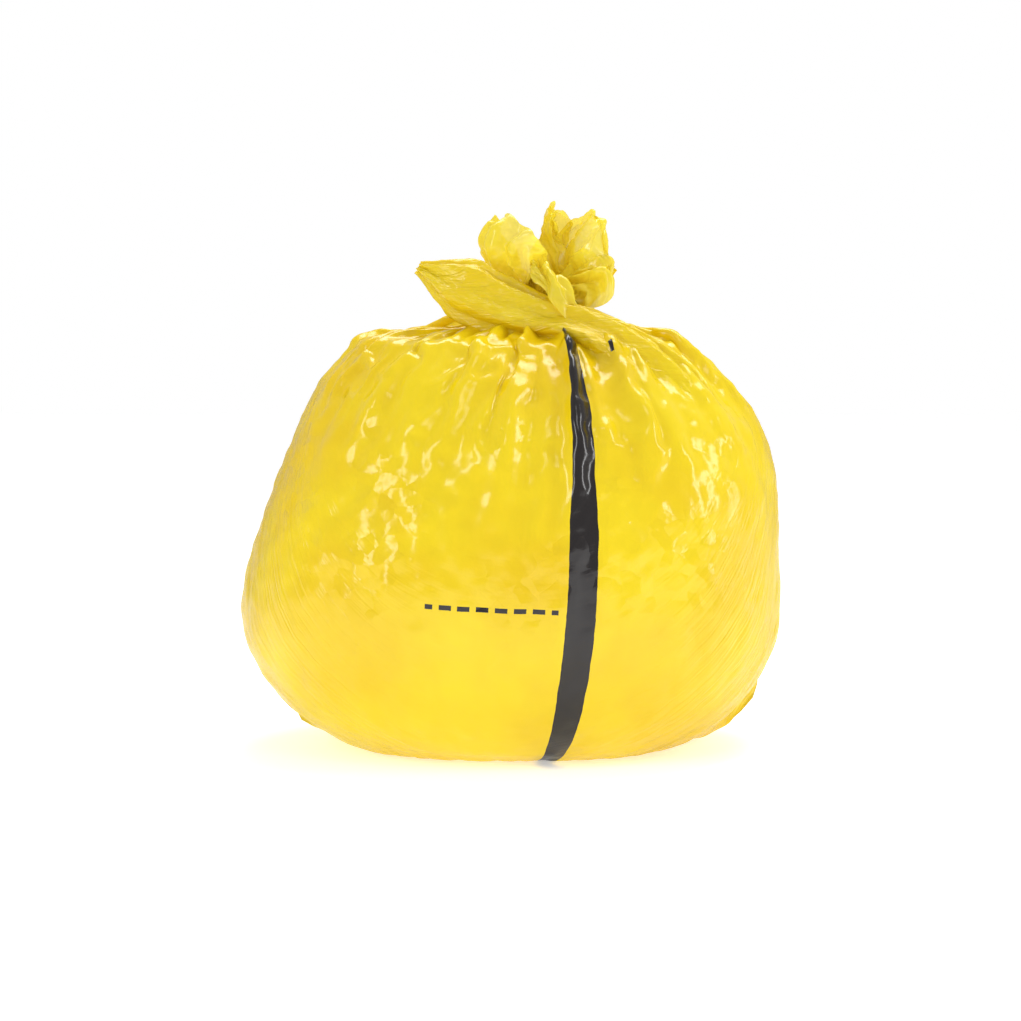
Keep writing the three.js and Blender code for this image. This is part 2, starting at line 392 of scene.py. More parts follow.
def waste_shape():
    """A closed, smooth shape inside the film, every second row and column of its grid."""
    rows = [row for row in range(0, BODY_ROWS + 1, 2) if WASTE_FROM <= up_share[row] <= WASTE_TO]
    bm = bmesh.new()
    rims = []
    for row in rows:
        share_above = np.clip((up_share[row] - GAP_GROWS_FROM) / GAP_GROWS_OVER, 0, 1)
        gap = WASTE_GAP + (WASTE_GAP_ABOVE - WASTE_GAP) * share_above
        ring = body_smooth[row, :-1:2] - body_outward[row, :-1:2] * gap
        ring[:, 2] = np.maximum(ring[:, 2], 2 * SEAL_HEIGHT)
        points = [bm.verts.new(point) for point in ring]
        rims.append([bm.edges.new(pair) for pair in zip(points, points[1:] + points[:1])])
    for lower, upper in zip(rims, rims[1:]):
        bmesh.ops.bridge_loops(bm, edges=lower + upper)
    bmesh.ops.holes_fill(bm, edges=rims[0] + rims[-1])
    bmesh.ops.recalc_face_normals(bm, faces=bm.faces)
    return piece_from(bm, "waste")


waste = waste_shape()
print("the waste has", len(waste.data.polygons), "faces")

# %% [markdown]
# Cloth simulation then does what film does. The springs' rest lengths come from the flat shape, the inside
# pushes outwards a little, gravity pulls the slack down, and the neck and the two welded corners are held.
# Afterwards the result is written into the mesh, and the simulation is thrown away.

# %% Simulate a film piece
FILM_MASS = 0.1
FILM_TENSION = 40
FILM_SHEAR = 15
FILM_BENDING = 0.05
CLOTH_QUALITY = 6
TOUCH_DISTANCE = 0.0015
SELF_TOUCH_DISTANCE = 0.0012
BODY_FRAMES = 34
BODY_PRESSURE = 2
# The top rows of the body film stay in the neck, and the bottom rows of the ruff too.
HELD_ROWS = 2.5
GROUND_SIZE = 3


def points_in(items, field):
    """The coordinates that a mesh keeps under a name, one row for each of its points."""
    values = np.zeros(3 * len(items), np.float32)
    items.foreach_get(field, values)
    return values.reshape(-1, 3)


def heights_up(piece):
    """How far up its film each point of a piece lies, from 0 to 1."""
    ups = np.zeros(len(piece.data.vertices), np.float32)
    piece.data.attributes["up"].data.foreach_get("value", ups)
    return ups


def obstacle(piece, thickness, friction):
    """Makes a piece something that cloth lands on."""
    piece.modifiers.new("obstacle", "COLLISION")
    piece.collision.thickness_outer = thickness
    piece.collision.cloth_friction = friction


def simulate(piece, held, frames, pressure, gravity=1.0, self_touch=False):
    """Lets a film piece move for some frames. held is the list of points that stay where they are."""
    flat_points = points_in(piece.data.attributes["flat"].data, "vector")
    piece.shape_key_add(name="Basis")
    flat_key = piece.shape_key_add(name="flat")
    flat_key.data.foreach_set("co", flat_points.ravel())
    flat_key.value = 0.0
    group = piece.vertex_groups.new(name="held")
    group.add(held, 1.0, "REPLACE")
    cloth = piece.modifiers.new("cloth", "CLOTH")
    film = cloth.settings
    film.quality = CLOTH_QUALITY
    film.mass = FILM_MASS
    film.tension_stiffness = FILM_TENSION
    film.compression_stiffness = FILM_TENSION
    film.shear_stiffness = FILM_SHEAR
    film.bending_stiffness = FILM_BENDING
    film.vertex_group_mass = "held"
    film.rest_shape_key = flat_key
    film.use_pressure = pressure != 0
    film.uniform_pressure_force = pressure
    film.effector_weights.gravity = gravity
    touch = cloth.collision_settings
    touch.distance_min = TOUCH_DISTANCE
    touch.use_self_collision = self_touch
    touch.self_distance_min = SELF_TOUCH_DISTANCE
    cloth.point_cache.frame_end = frames
    for number in range(1, frames + 1):
        scene.frame_set(number)
    settled = piece.evaluated_get(bpy.context.evaluated_depsgraph_get())
    points = points_in(settled.data.vertices, "co")
    piece.modifiers.clear()
    for key in reversed(piece.data.shape_keys.key_blocks):
        piece.shape_key_remove(key)
    piece.data.vertices.foreach_set("co", points.ravel())
    piece.data.update()
    piece.vertex_groups.clear()
    scene.frame_set(1)


def held_points(piece, from_up, places=(), reach=0.004):
    """The points of a film piece above a share of its height, and those at the given places."""
    chosen = set(np.nonzero(heights_up(piece) >= from_up)[0].tolist())
    for vert in piece.data.vertices:
        if any((vert.co - place).length < reach for place in places):
            chosen.add(vert.index)
    return sorted(chosen)


bpy.ops.mesh.primitive_plane_add(size=GROUND_SIZE)
ground = bpy.context.object
ground.name = "ground"
obstacle(ground, thickness=0.001, friction=5)
obstacle(waste, thickness=0.002, friction=3)
body_held = held_points(body_film, 1 - HELD_ROWS / BODY_ROWS, [LEFT_EAR, RIGHT_EAR])
simulate(body_film, body_held, BODY_FRAMES, BODY_PRESSURE)
bpy.data.objects.remove(waste)
bpy.data.objects.remove(ground)
print("the film has settled at", [round(x, 3) for x in body_film.dimensions])

# %% [markdown]
# The simulation finds the large folds. Crinkles smaller than its grid are added afterwards, on a grid twice
# as fine: every crinkle is a ridge or a valley between the little facets that handling leaves in polythene.
# They come in patches, and the film that the waste pulls taut has hardly any.

# %% Add the small crinkles
# Each pair is the size of the facets and the depth of the crinkles between them.
BODY_CRINKLES = [(0.030, 0.0020), (0.014, 0.0010)]
VALLEY_FACETS = 1.3
VALLEY_SEED = 50
PATCH_FACETS = 4
PATCH_CONTRAST = 1.1
LEAST_CRINKLED = 0.35
LOWEST_FILM = 0.0005
SLACK_FROM = 0.24
SLACK_OVER = 0.2
LEAST_SLACK = 0.12


def film_places(mesh):
    """The film coordinates of every point of a mesh, in metres round and up the tube."""
    loops = len(mesh.loops)
    uv = np.zeros(2 * loops, np.float32)
    mesh.uv_layers[FILM_UV].data.foreach_get("uv", uv)
    corner = np.zeros(loops, np.int32)
    mesh.loops.foreach_get("vertex_index", corner)
    places = np.zeros((len(mesh.vertices), 2))
    places[corner] = uv.reshape(-1, 2)
    return places * [TUBE_ROUND, 1.0]


def patches(places, size, seed):
    """Soft patches over the film, from 0 to 1. They join up where the tube closes."""
    angle = places[:, 0] / TUBE_ROUND * 2 * math.pi
    radius = TUBE_ROUND / (2 * math.pi)
    spots = np.stack([radius * np.cos(angle), radius * np.sin(angle), places[:, 1]], axis=1) / size
    value = np.array([noise.noise(Vector(spot) + Vector((seed, 0, 0))) for spot in spots])
    return np.clip(0.5 + PATCH_CONTRAST * value, 0, 1)


def refine(piece, crinkles, amount, seed):
    """Doubles a piece's grid and moves its points in and out by crinkles of several sizes and depths."""
    finer = piece.modifiers.new("finer", "SUBSURF")
    finer.levels = finer.render_levels = 1
    ready = piece.evaluated_get(bpy.context.evaluated_depsgraph_get())
    mesh = bpy.data.meshes.new_from_object(ready)
    piece.modifiers.clear()
    piece.data = mesh
    points = points_in(mesh.vertices, "co")
    outward = points_in(mesh.vertex_normals, "vector")
    places = film_places(mesh)
    for number, (size, depth) in enumerate(crinkles):
        ridges = facets(places[:, 0], places[:, 1], size, seed + number)
        valleys = facets(places[:, 0], places[:, 1], VALLEY_FACETS * size, seed + VALLEY_SEED + number)
        patch = LEAST_CRINKLED + (1 - LEAST_CRINKLED) * patches(places, PATCH_FACETS * size, seed + number)
        points += outward * (depth * amount(places) * patch * (ridges - valleys))[:, None]
    points[:, 2] = np.maximum(points[:, 2], LOWEST_FILM)
    mesh.vertices.foreach_set("co", points.astype(np.float32).ravel())
    mesh.update()


def slack_share(places):
    """How slack the body film is: taut over the lower half, slack near the neck."""
    return np.clip((places[:, 1] - SLACK_FROM) / SLACK_OVER, LEAST_SLACK, 1)


def evenly(places):
    """The same amount of crinkle everywhere."""
    return 1.0


refine(body_film, BODY_CRINKLES, slack_share, seed=61)
print("body_film now has", len(body_film.data.polygons), "faces")

# %% [markdown]
# Above the neck the mouth of the bag stands as a ruff. It is the same tube of film, 1.42 m round, squeezed to
# the width of a wrist, so it can only stand out in lobes: each lobe is film that goes out from the middle to
# a ridge and comes back. The start shape gives every lobe a ridge and every valley a line, and the simulation
# then lets the lobes curl, rest on each other and crumple. Fine pleats take up some of the film's width, but
# not all of it, so the springs start pressed together.

# %% The lobes of the ruff
RUFF_COLUMNS = 264
RUFF_ROWS = 34
RUFF_LENGTH = 0.135
RUFF_FOOT = np.array([0.026, -0.004, 0.398])
# Each lobe's share of the tube, how plump it is, and the places of its ridge from the ruff's foot.
LOBES = {
    "left": (0.16, 0.032, [
        (-.020, -.014, .030), (-.042, -.024, .056), (-.044, -.028, .082), (-.024, -.024, .098)]),
    "front": (0.17, 0.030, [
        (-.002, -.030, .034), (.006, -.058, .050), (.014, -.072, .028), (.016, -.068, -.006)]),
    "low right": (0.12, 0.026, [
        (.026, -.026, .026), (.056, -.036, .046), (.082, -.038, .040), (.082, -.040, .018)]),
    "right": (0.15, 0.036, [
        (.024, -.006, .040), (.052, -.012, .070), (.076, -.014, .080), (.078, -.022, .058)]),
    "top": (0.16, 0.038, [
        (.004, .006, .046), (.006, .012, .076), (.016, .010, .100), (.036, -.004, .094)]),
    "back right": (0.12, 0.028, [
        (.022, .026, .032), (.044, .050, .054), (.056, .064, .044), (.056, .070, .020)]),
    "back left": (0.12, 0.028, [
        (-.020, .026, .032), (-.040, .050, .056), (-.050, .066, .046), (-.048, .072, .022)]),
}
VALLEY_RISE = 0.02
VALLEY_SHARE = 0.75
VALLEY_REACH = 0.012
VALLEY_LEAN = 0.25
RUFF_PLEATS = 41
RUFF_PLEAT_DEPTH = 0.0045
RUFF_PLEAT_SWAY = 0.008
BULGE_POWER = 0.7
EASE_POWER = 1.3
PLEATS_BEGIN_OVER = 0.1
ruff_share = np.linspace(0, 1, RUFF_COLUMNS + 1)
ruff_up = np.linspace(0, 1, RUFF_ROWS + 1)


def unit(vectors):
    """The same directions, each one metre long."""
    return vectors / (np.linalg.norm(vectors, axis=-1, keepdims=True) + 1e-9)


def lobe_ridge(places):
    """The line along a lobe's outermost film, from the neck to the rim."""
    start = unit(np.array(places[0]) * [1, 1, 0]) * THROAT_RADIUS
    return along_path(RUFF_FOOT + np.array([start] + list(places)), ruff_up)[0]


def valley_between(before, after):
    """The line between two lobes, near the middle of the ruff."""
    between = (before + after) / 2 - RUFF_FOOT
    level = between * [1, 1, 0]
    tip = max(0.0, between[-1, 2])
    reach = THROAT_RADIUS + (VALLEY_REACH - THROAT_RADIUS) * ruff_up
    rise = (VALLEY_RISE + VALLEY_SHARE * tip) * ruff_up
    upwards = np.array([0.0, 0.0, 1.0])
    return RUFF_FOOT + unit(level) * reach[:, None] + VALLEY_LEAN * level + rise[:, None] * upwards


def ruff_shape():
    """The start of the ruff: out along one lobe and back, then out along the next."""
    lobes = list(LOBES.values())
    ridges = [lobe_ridge(places) for width, plump, places in lobes]
    valleys = [valley_between(ridges[number - 1], ridges[number]) for number in range(len(lobes))]
    valleys.append(valleys[0])
    borders = np.cumsum([0.0] + [width for width, plump, places in lobes])
    shape = np.zeros((RUFF_ROWS + 1, RUFF_COLUMNS + 1, 3))
    for column, share in enumerate(ruff_share[:-1]):
        number = int(np.searchsorted(borders, share, side="right")) - 1
        width, plump, places = lobes[number]
        along = (share - borders[number]) / width
        out = 1 - abs(2 * along - 1)
        side = math.copysign(1, along - 0.5)
        valley = valleys[number] if side < 0 else valleys[number + 1]
        across = unit(valleys[number + 1] - valleys[number])
        bulge = side * plump * ruff_up * max(0.0, math.sin(math.pi * out)) ** BULGE_POWER
        ease = 1 - (1 - out) ** EASE_POWER
        shape[:, column] = valley * (1 - ease) + ridges[number] * ease + across * bulge[:, None]
    shape[:, -1] = shape[:, 0]
    return shape


def pleated(shape, film_round, count, deepest, swings, noise_size, seed):
    """Adds fine pleats, no deeper than deepest, and a little noise to a rolled start shape."""
    shares = np.linspace(0, 1, shape.shape[1])
    around = np.linalg.norm(np.diff(shape, axis=1), axis=2).sum(axis=1)
    crowd = np.maximum(1.0, film_round / around)
    slope = np.sqrt((crowd ** 2 - 1) / WAVE_TAKES)
    depth = np.minimum(deepest, slope * around / (2 * math.pi * count))
    depth *= np.clip(np.linspace(0, 1, len(shape)) / PLEATS_BEGIN_OVER, 0, 1)
    wave = np.sin(2 * math.pi * count * uneven(shares, swings, seed))
    rise = depth[:, None] * wave[None, :]
    rise += np.random.default_rng(seed).normal(0, noise_size, rise.shape)
    rise[:, -1] = rise[:, 0]
    return shape + across_surface(shape) * rise[..., None]


ruff_start = pleated(ruff_shape(), TUBE_ROUND, RUFF_PLEATS, RUFF_PLEAT_DEPTH, RUFF_PLEAT_SWAY,
                     HANDLING_NOISE, seed=8)
print("the ruff starts", np.ptp(ruff_start, axis=(0, 1)).round(3), "metres large, in", len(LOBES), "lobes")

# %% [markdown]
# The rim of a sack is cut straight, but a knot pulls more of it through in one place than in another, so the
# film's length above the neck is made a little uneven.

# %% Make the film of the ruff
RUFF_CRUMPLE_SIZE = 0.016
RUFF_CRUMPLE_DEPTH = 0.0035
RUFF_FRAMES = 20
RUFF_PRESSURE = 3
RUFF_GRAVITY = 0.3
RUFF_FROM_SEAL = 0.75
RUFF_CRINKLES = [(0.012, 0.0008)]
RIM_SWAY = 0.1
FINE_RIM_SWAY = 0.05
turn = 2 * math.pi * ruff_share
rim = RIM_SWAY * np.sin(3 * turn) + FINE_RIM_SWAY * np.sin(7 * turn + 1)
ruff_lengths = RUFF_LENGTH * (1 + rim)
ruff_flat = laid_flat(ruff_share, ruff_up, ruff_lengths)
ruff_round_way = np.broadcast_to(ruff_share * TUBE_ROUND, ruff_flat.shape[:2])
ruff_crumple = facets(ruff_round_way, ruff_flat[..., 2], RUFF_CRUMPLE_SIZE, 31)
ruff_crumple[:, -1] = ruff_crumple[:, 0]
ruff_flat[..., 1] += RUFF_CRUMPLE_DEPTH * ruff_crumple * np.sign(ruff_flat[..., 1])
ruff_film = rolled_film("ruff_film", ruff_start, ruff_flat, ruff_lengths, first_up=RUFF_FROM_SEAL)
ruff_held = np.nonzero(heights_up(ruff_film) <= HELD_ROWS / RUFF_ROWS)[0].tolist()
simulate(ruff_film, ruff_held, RUFF_FRAMES, RUFF_PRESSURE, RUFF_GRAVITY, self_touch=True)
refine(ruff_film, RUFF_CRINKLES, evenly, seed=71)
print("ruff_film has", len(ruff_film.data.polygons), "faces")

# %% [markdown]
# The knot is made with the film of the two shoulders. A bunch of pleats is pulled off the right shoulder and
# over the front of the neck, and its end stands out on the left as a puffed leaf. The film of the left
# shoulder goes round the back in the same way. Each bunch is a flattened tube of film that starts inside the
# shoulder, is held where it crosses the neck, and is blown up a little by the simulation.

# %% Lay out and simulate the two bunches
BUNCH_COLUMNS = 96
BUNCH_ROWS = 64
BUNCH_PLEATS = 7
BUNCH_PLEAT_DEPTH = 0.0035
BUNCH_FILM_GAP = 0.006
BUNCH_CRUMPLE_SIZE = 0.014
BUNCH_CRUMPLE_DEPTH = 0.0025
BUNCH_PLEAT_SWAY = 0.02
BUNCH_EDGE_SHARE = 1 / 30
BUNCH_CRINKLES = [(0.012, 0.0007)]
BUNCH_FRAMES = 16
BUNCH_PRESSURE = 2
WIDTH_SMOOTHING = 4
bunch_up = np.linspace(0, 1, BUNCH_ROWS + 1)
bunch_share = np.linspace(0, 1, BUNCH_COLUMNS + 1)


def spread(values, shares):
    """Numbers, or lists of numbers, at even steps along a bunch, read at any share of its length."""
    values = np.array(values, float).reshape(len(values), -1)
    steps = np.linspace(0, 1, len(values))
    return np.stack([np.interp(shares, steps, column) for column in values.T], axis=1)


def bunch_shape(middle, half_widths, half_thicknesses, facing):
    """A flattened tube round a middle line. Its flat side looks in the facing direction."""
    along = unit(np.gradient(middle, axis=0))
    front = spread(facing, bunch_up)
    front = unit(front - along * (front * along).sum(axis=1, keepdims=True))
    side = np.cross(front, along)
    wide = spread(half_widths, bunch_up)
    for _ in range(WIDTH_SMOOTHING):
        wide[1:-1] = (wide[:-2] + 2 * wide[1:-1] + wide[2:]) / 4
    thick = spread(half_thicknesses, bunch_up)
    turn = 2 * math.pi * bunch_share
    sideways = side[:, None] * (wide * np.cos(turn))[..., None]
    outwards = front[:, None] * (thick * np.sin(turn))[..., None]
    return middle[:, None] + sideways + outwards


def bunch_laid_flat(film_round, length, seed):
    """The bunch's film laid flat in two layers, crumpled, and a little longer than its route."""
    across = np.where(bunch_share <= 0.5, bunch_share, 1 - bunch_share)
    near_edge = np.clip(np.minimum(across, 0.5 - across) / BUNCH_EDGE_SHARE, 0, 1)
    layer = np.where(bunch_share <= 0.5, -1, 1) * near_edge
    flat = np.zeros((BUNCH_ROWS + 1, BUNCH_COLUMNS + 1, 3))
    flat[..., 0] = (across - 0.25)[None, :] * film_round
    flat[..., 1] = layer[None, :] * BUNCH_FILM_GAP / 2
    flat[..., 2] = (bunch_up * length * BODY_SLACK)[:, None]
    round_way = np.broadcast_to(bunch_share * film_round.max(), flat.shape[:2])
    crumple = facets(round_way, flat[..., 2], BUNCH_CRUMPLE_SIZE, seed)
    flat[..., 1] += BUNCH_CRUMPLE_DEPTH * crumple * np.sign(flat[..., 1])
    return flat


def bunch(name, route, half_widths, half_thicknesses, film_rounds, facing, first_share, seed):
    """A flattened, pleated tube of film along a route, held at its start and where it crosses the neck."""
    middle, length = along_path(np.array(route), bunch_up)
    film_round = spread(film_rounds, bunch_up)
    shape = bunch_shape(middle, half_widths, half_thicknesses, facing)
    start = pleated(shape, film_round[:, 0], BUNCH_PLEATS, BUNCH_PLEAT_DEPTH, BUNCH_PLEAT_SWAY,
                    HANDLING_NOISE, seed)
    flat = bunch_laid_flat(film_round, length, seed)
    lengths = np.full(BUNCH_COLUMNS + 1, length)
    piece = rolled_film(name, start, flat, lengths, first_share, film_round.max() / TUBE_ROUND)
    rows = np.round(heights_up(piece) * BUNCH_ROWS)
    held = np.nonzero((rows <= 2) | (abs(rows - BUNCH_ROWS / 2) <= 1))[0].tolist()
    simulate(piece, held, BUNCH_FRAMES, BUNCH_PRESSURE, gravity=0.0)
    refine(piece, BUNCH_CRINKLES, evenly, seed)
    return piece


front_bunch = bunch(
    "front_bunch",
    route=[(.158, -.106, .308), (.110, -.092, .356), (.066, -.080, .382), (.022, -.066, .393),
           (-.012, -.055, .406), (-.048, -.044, .424), (-.084, -.034, .441)],
    half_widths=[.044, .040, .028, .021, .025, .027, .004],
    half_thicknesses=[.004, .008, .013, .014, .015, .016, .002],
    film_rounds=[.30, .28, .26, .24, .20, .17, .05],
    facing=[(.25, -.6, .75), (.15, -.7, .7), (-.1, -.9, .4), (-.2, -.95, .15)],
    first_share=0.55, seed=41)
rear_bunch = bunch(
    "rear_bunch",
    route=[(-.112, .080, .322), (-.056, .066, .368), (-.010, .056, .390), (.030, .048, .408),
           (.064, .040, .424), (.094, .030, .444)],
    half_widths=[.044, .038, .024, .020, .024, .006],
    half_thicknesses=[.004, .009, .013, .013, .014, .003],
    film_rounds=[.28, .27, .25, .23, .19, .06],
    facing=[(-.25, .6, .75), (-.15, .7, .7), (.1, .9, .4), (.2, .95, .15)],
    first_share=0.75, seed=43)
print("each bunch has", len(front_bunch.data.polygons), "faces")

# %% [markdown]
# The finish. Polythene film is thin enough for some light to pass, so the surface is a glossy shader mixed
# with a translucent one, which glows where light falls on its far side. A finish needs many shader nodes, so
# a small class first makes it short to add one and to wire it up.

# %% A short way to wire up shader nodes
class Nodes:
    """Adds nodes to a material's tree, with their settings and inputs given by name."""

    def __init__(self, tree):
        self.tree = tree

    def add(self, kind, settings=None, **inputs):
        """A new node. Its inputs are given by name, or as i and their number where names repeat."""
        made = self.tree.nodes.new(kind)
        for name, value in (settings or {}).items():
            setattr(made, name, value)
        for name, value in inputs.items():
            key = int(name[1:]) if name[1:].isdigit() else name.replace("_", " ")
            self.feed(made.inputs[key], value)
        return made

    def feed(self, socket, value):
        """Gives an input its value: a number, a colour, or what another node gives out."""
        if isinstance(value, bpy.types.NodeSocket):
            self.tree.links.new(value, socket)
        elif isinstance(value, bpy.types.Node):
            self.tree.links.new(value.outputs[0], socket)
        else:
            socket.default_value = value

    def math(self, operation, first, second=0.0, third=0.0):
        """One step of arithmetic."""
        return self.add("ShaderNodeMath", {"operation": operation}, i0=first, i1=second, i2=third)

    def ramp(self, value, low, high):
        """0 below low, 1 above high, and smooth between them."""
        return self.add("ShaderNodeMapRange", {"interpolation_type": "SMOOTHSTEP"},
                        Value=value, From_Min=low, From_Max=high)


print("materials are wired up with", Nodes.__name__)

# %% [markdown]
# What is printed on the film is laid out in the film's own coordinates: a long black stripe right of the
# middle of the front, a row of short dashes in place of the words on the front, and one small register mark
# such as printers line their rollers up with. The stripe's edges waver a little.

# %% The printed marks
STRIPE_SHARE = 0.290
STRIPE_WIDTH = 0.026
FILL_LINE_UP = 0.305
FILL_LINE_THICKNESS = 0.0045
FILL_LINE_FROM = 0.196
FILL_LINE_TO = 0.276
DASH_LENGTH = 0.016
DASH_GAP = 0.17
STRIPE_WOBBLE = 0.0008
WOBBLES_PER_METRE = 60.0
REGISTER_SHARE = 0.334
REGISTER_UP = 0.56
REGISTER_WIDTH = 0.0045
REGISTER_HEIGHT = 0.011


def printed_mask(nodes, share, up):
    """1 where the film is printed black, and 0 elsewhere."""
    wobble = nodes.add("ShaderNodeTexNoise", {"noise_dimensions": "1D"}, W=up, Scale=WOBBLES_PER_METRE)
    wobble = nodes.math("MULTIPLY_ADD", wobble, STRIPE_WOBBLE, -STRIPE_WOBBLE / 2)
    stripe_at = nodes.math("ADD", share, wobble)
    stripe = nodes.math("COMPARE", stripe_at, STRIPE_SHARE, STRIPE_WIDTH / 2 / TUBE_ROUND)
    line = nodes.math("COMPARE", up, FILL_LINE_UP, FILL_LINE_THICKNESS / 2)
    line_middle = (FILL_LINE_FROM + FILL_LINE_TO) / 2
    span = nodes.math("COMPARE", share, line_middle, (FILL_LINE_TO - FILL_LINE_FROM) / 2)
    dashes = nodes.math("PINGPONG", nodes.math("MULTIPLY", share, TUBE_ROUND / DASH_LENGTH), 0.5)
    dashes = nodes.math("GREATER_THAN", dashes, DASH_GAP)
    line = nodes.math("MULTIPLY", nodes.math("MULTIPLY", line, span), dashes)
    beside = nodes.math("COMPARE", share, REGISTER_SHARE, REGISTER_WIDTH / 2 / TUBE_ROUND)
    level = nodes.math("COMPARE", up, REGISTER_UP, REGISTER_HEIGHT / 2)
    register_mark = nodes.math("MULTIPLY", beside, level)
    return nodes.math("MAXIMUM", nodes.math("MAXIMUM", stripe, line), register_mark)


print("the stripe is", round(1000 * STRIPE_WIDTH), "mm wide")

# %% [markdown]
# The yellow varies a little with the film's thickness, and its gloss is broken up by two kinds of fine relief
# that are too small to model. Crinkles are small facets, and are laid out in space. Tension lines are what a
# hanging load pulls into film: it hangs from the bag's sides like a hammock, so its lines follow curves that
# sag to the middle of the front and of the back.

# %% The film material
FILM_YELLOW = (0.90, 0.705, 0.008, 1)
FILM_DEEP_YELLOW = (0.84, 0.60, 0.006, 1)
# A painted glow: paler yellow that stands in for light shining through thin film.
FILM_PAINTED_GLOW_YELLOW = (0.97, 0.90, 0.10, 1)
CLEAR_YELLOW = (1.0, 0.97, 0.72, 1)
PRINT_BLACK = (0.010, 0.007, 0.007, 1)
FILM_ROUGHNESS = 0.17
FILM_IOR = 1.51
THICKNESS_SCALE = 9.0
THICKNESS_RANGE = (0.35, 0.7)
BEND_SCALE = 35.0
BEND_SIZE = 0.012
COARSE_SCALE = 48.0
FINE_SCALE = 120.0
FINE_DEPTH = 0.4
PATCH_SCALE = 11.0
PATCH_RANGE = (0.42, 0.62)
PATCH_CRINKLES = 0.85
CRINKLES_EVERYWHERE = 0.12
CRINKLE_STRENGTH = 0.4
CRINKLE_HEIGHT = 0.002
TILT_SCALE = 70.0
TILT_SIZE = 0.34
SLACK_RANGE = (0.20, 0.38)
TAUT_RANGE = (0.28, 0.45)
LINE_SAG = 2.4
LINES_PER_METRE = 95.0
LINE_BREAKS_PER_METRE = 7.0
BESIDE_RANGE = (0.05, 0.28)
LINES_EVERYWHERE = 0.15
LINE_STRENGTH = 0.8
LINE_HEIGHT = 0.004


def film_colour(nodes, space, printed, painted_glow):
    """Yellow that varies with thickness, paler by a painted glow of light through thin film, black where
    printed.
    """
    thickness = nodes.add("ShaderNodeTexNoise", Vector=space, Scale=THICKNESS_SCALE, Detail=3.0)
    thin = nodes.ramp(thickness.outputs["Fac"], *THICKNESS_RANGE)
    light = tuple(Vector(FILM_YELLOW).lerp(Vector(FILM_PAINTED_GLOW_YELLOW), painted_glow))
    deep = tuple(Vector(FILM_DEEP_YELLOW).lerp(Vector(FILM_PAINTED_GLOW_YELLOW), painted_glow))
    yellow = nodes.add("ShaderNodeMix", {"data_type": "RGBA"}, i0=thin, i6=light, i7=deep)
    colour = nodes.add("ShaderNodeMix", {"data_type": "RGBA"}, i0=printed, i6=yellow.outputs[2],
                       i7=PRINT_BLACK)
    return colour.outputs[2]


def crinkle_relief(nodes, space, up, relief):
    """The surface direction with crinkles: small facets, in patches, where the film is slack."""
    bend = nodes.add("ShaderNodeTexNoise", Vector=space, Scale=BEND_SCALE, Detail=2.0)
    bent = nodes.add("ShaderNodeVectorMath", {"operation": "MULTIPLY_ADD"}, i0=bend.outputs["Color"],
                     i1=3 * (BEND_SIZE,), i2=space).outputs[0]
    coarse = nodes.add("ShaderNodeTexVoronoi", Vector=bent, Scale=COARSE_SCALE)
    fine = nodes.add("ShaderNodeTexVoronoi", Vector=bent, Scale=FINE_SCALE)
    patches = nodes.add("ShaderNodeTexNoise", Vector=space, Scale=PATCH_SCALE, Detail=2.0)
    patchy = nodes.ramp(patches.outputs["Fac"], *PATCH_RANGE)
    slack = nodes.ramp(up, *SLACK_RANGE)
    slack_patches = nodes.math("MULTIPLY", patchy, slack)
    crinkled = nodes.math("MULTIPLY_ADD", slack_patches, PATCH_CRINKLES, CRINKLES_EVERYWHERE)
    height = nodes.math("MULTIPLY_ADD", fine.outputs["Distance"], FINE_DEPTH, coarse.outputs["Distance"])
    height = nodes.math("MULTIPLY", height, crinkled)
    bumped = nodes.add("ShaderNodeBump", Strength=CRINKLE_STRENGTH * relief, Distance=CRINKLE_HEIGHT,
                       Height=height)
    tilts = nodes.add("ShaderNodeTexVoronoi", Vector=bent, Scale=TILT_SCALE)
    tilt = nodes.add("ShaderNodeVectorMath", {"operation": "SUBTRACT"}, i0=tilts.outputs["Color"],
                     i1=(0.5, 0.5, 0.5))
    tilt_size = nodes.math("MULTIPLY", crinkled, TILT_SIZE * relief)
    tilt = nodes.add("ShaderNodeVectorMath", {"operation": "SCALE"}, i0=tilt.outputs[0], Scale=tilt_size)
    tilted = nodes.add("ShaderNodeVectorMath", {"operation": "ADD"}, i0=bumped.outputs[0],
                       i1=tilt.outputs[0])
    return nodes.add("ShaderNodeVectorMath", {"operation": "NORMALIZE"}, i0=tilted.outputs[0]).outputs[0]


def tension_relief(nodes, share, up, crinkled, relief):
    """The surface direction with tension lines too, which sag to the middle of each face."""
    from_middle = nodes.math("SUBTRACT", nodes.math("PINGPONG", share, 0.5), 0.25)
    aside = nodes.math("MULTIPLY", from_middle, TUBE_ROUND)
    sag = nodes.math("MULTIPLY", nodes.math("MULTIPLY", aside, aside), LINE_SAG)
    across = nodes.math("MULTIPLY", nodes.math("SUBTRACT", up, sag), LINES_PER_METRE)
    along = nodes.math("MULTIPLY", aside, LINE_BREAKS_PER_METRE)
    line_place = nodes.add("ShaderNodeCombineXYZ", X=across, Y=along, Z=0.0)
    lines = nodes.add("ShaderNodeTexNoise", Vector=line_place, Scale=1.0, Detail=3.0, Roughness=0.55)
    sharp = nodes.math("ABSOLUTE", nodes.math("SUBTRACT", lines.outputs["Fac"], 0.5))
    taut = nodes.math("SUBTRACT", 1.0, nodes.ramp(up, *TAUT_RANGE))
    beside = nodes.ramp(nodes.math("ABSOLUTE", aside), *BESIDE_RANGE)
    strength = nodes.math("ADD", beside, LINES_EVERYWHERE)
    lined = nodes.math("MULTIPLY", nodes.math("MULTIPLY", sharp, taut), strength)
    return nodes.add("ShaderNodeBump", {"invert": True}, Strength=LINE_STRENGTH * relief,
                     Distance=LINE_HEIGHT, Height=lined, Normal=crinkled).outputs[0]


